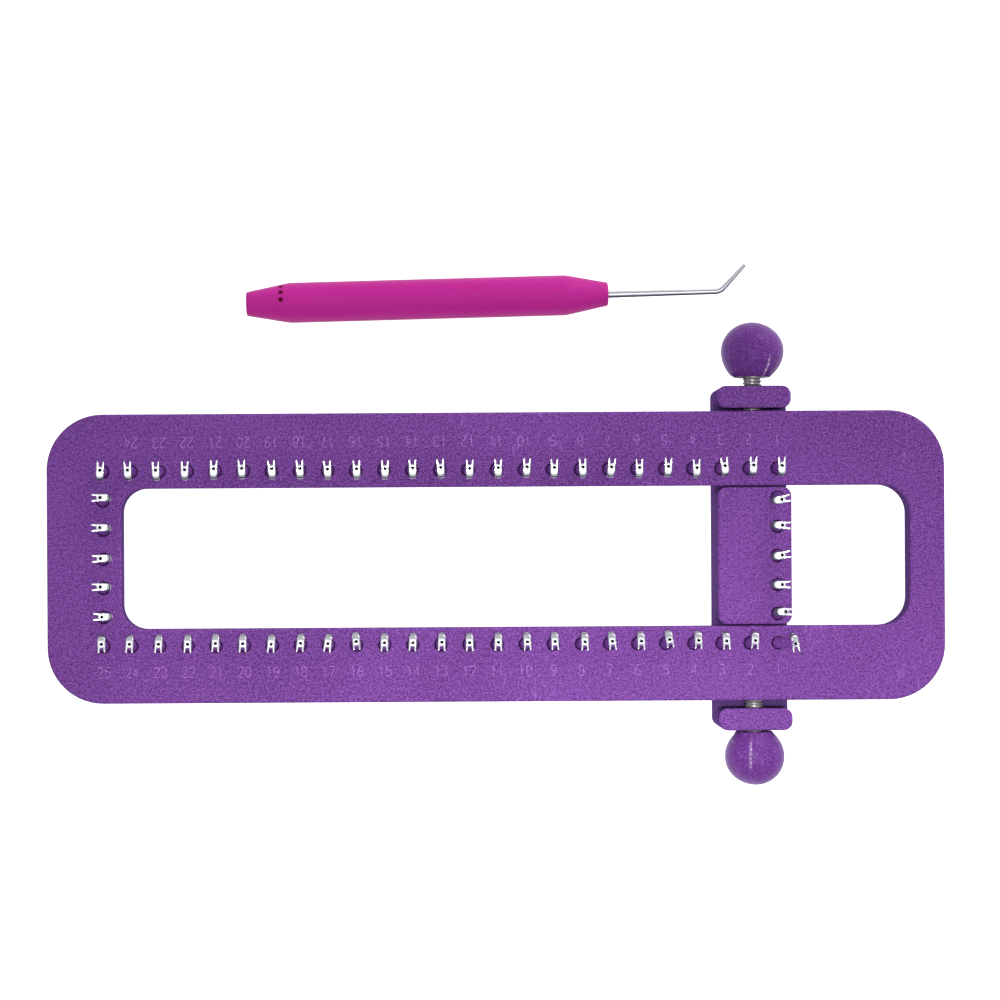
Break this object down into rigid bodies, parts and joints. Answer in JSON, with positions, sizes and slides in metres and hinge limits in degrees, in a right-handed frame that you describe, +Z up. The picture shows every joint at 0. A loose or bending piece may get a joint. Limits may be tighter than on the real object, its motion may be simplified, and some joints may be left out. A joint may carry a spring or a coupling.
{
  "type": "adjustable knitting loom",
  "caption": "Long flat knitting loom with steel-capped pegs round an open window, a slider locked across the rails by two ball-knob screws, and a bent hand pick.",
  "frame": {"origin": "centre of the footprint of the loom, its clamp screws and the pick lying behind it, on the surface they stand on, which is the slider's underside", "axes": "+X along the rails from the fixed pin end towards the slider's end, +Y towards the rear rail and the pick, +Z up out of the pins"},
  "size_m": [0.3048, 0.1795, 0.029],
  "materials": {
    "speckled_moulding": "matte, finely speckled purple moulding with a sanded grain",
    "peg_plastic": "matte purple moulded pegs, slightly darker than the frame",
    "knob_plastic": "matte purple balls with a faint mould seam",
    "bright_steel": "bright formed sheet steel",
    "thread_steel": "zinc-plated screw thread, darker in the roots",
    "pick_steel": "drawn steel, lengthwise satin",
    "handle_plastic": "satin magenta moulded grip"
  },
  "bodies": {
    "loom_frame": {"frame": "speckled_moulding", "rear_pegs_1_to_5": "peg_plastic", "rear_clips_1_to_5": "bright_steel", "rear_pegs_6_to_10": "peg_plastic", "rear_clips_6_to_10": "bright_steel", "rear_pegs_11_to_15": "peg_plastic", "rear_clips_11_to_15": "bright_steel", "rear_pegs_16_to_20": "peg_plastic", "rear_clips_16_to_20": "bright_steel", "rear_pegs_21_to_25": "peg_plastic", "rear_clips_21_to_25": "bright_steel", "front_pegs_1_to_5": "peg_plastic", "front_clips_1_to_5": "bright_steel", "front_pegs_6_to_10": "peg_plastic", "front_clips_6_to_10": "bright_steel", "front_pegs_11_to_15": "peg_plastic", "front_clips_11_to_15": "bright_steel", "front_pegs_16_to_20": "peg_plastic", "front_clips_16_to_20": "bright_steel", "front_pegs_21_to_25": "peg_plastic", "front_clips_21_to_25": "bright_steel", "left_end_pegs": "peg_plastic", "left_end_clips": "bright_steel"},
    "slider": {"slider": "speckled_moulding", "slider_pegs": "peg_plastic", "slider_clips": "bright_steel"},
    "rear_screw": {"rear_threaded_rod": "thread_steel"},
    "rear_knob": {"rear_ball_knob": "knob_plastic"},
    "front_screw": {"front_threaded_rod": "thread_steel"},
    "front_knob": {"front_ball_knob": "knob_plastic"},
    "pick": {"pick_handle": "handle_plastic", "pick_shaft": "pick_steel"}
  },
  "joints": [
    {"name": "slider_slide", "type": "slide", "parent": "loom_frame", "child": "slider", "axis": [1, 0, 0], "range_m": [-0.197, 0.033]},
    {"name": "rear_screw_slide", "type": "slide", "parent": "slider", "child": "rear_screw", "axis": [0, 1, 0], "range_m": [0, 0.0051]},
    {"name": "rear_knob_turn", "type": "hinge", "parent": "rear_screw", "child": "rear_knob", "pos_m": [0.0879, 0.05, 0.01525], "axis": [0, 1, 0], "range_deg": [0, 1440]},
    {"name": "front_screw_slide", "type": "slide", "parent": "slider", "child": "front_screw", "axis": [0, -1, 0], "range_m": [0, 0.00763]},
    {"name": "front_knob_turn", "type": "hinge", "parent": "front_screw", "child": "front_knob", "pos_m": [0.0879, -0.07, 0.01525], "axis": [0, -1, 0], "range_deg": [0, 2160]},
    {"name": "pick_lift", "type": "slide", "parent": "loom_frame", "child": "pick", "axis": [0, 0, 1], "range_m": [0, 0.12]}
  ],
  "couplings": [
    {"joint": "rear_screw_slide", "follows": "rear_knob_turn", "m_per_rad": 0.00020213},
    {"joint": "front_screw_slide", "follows": "front_knob_turn", "m_per_rad": 0.00020213}
  ]
}
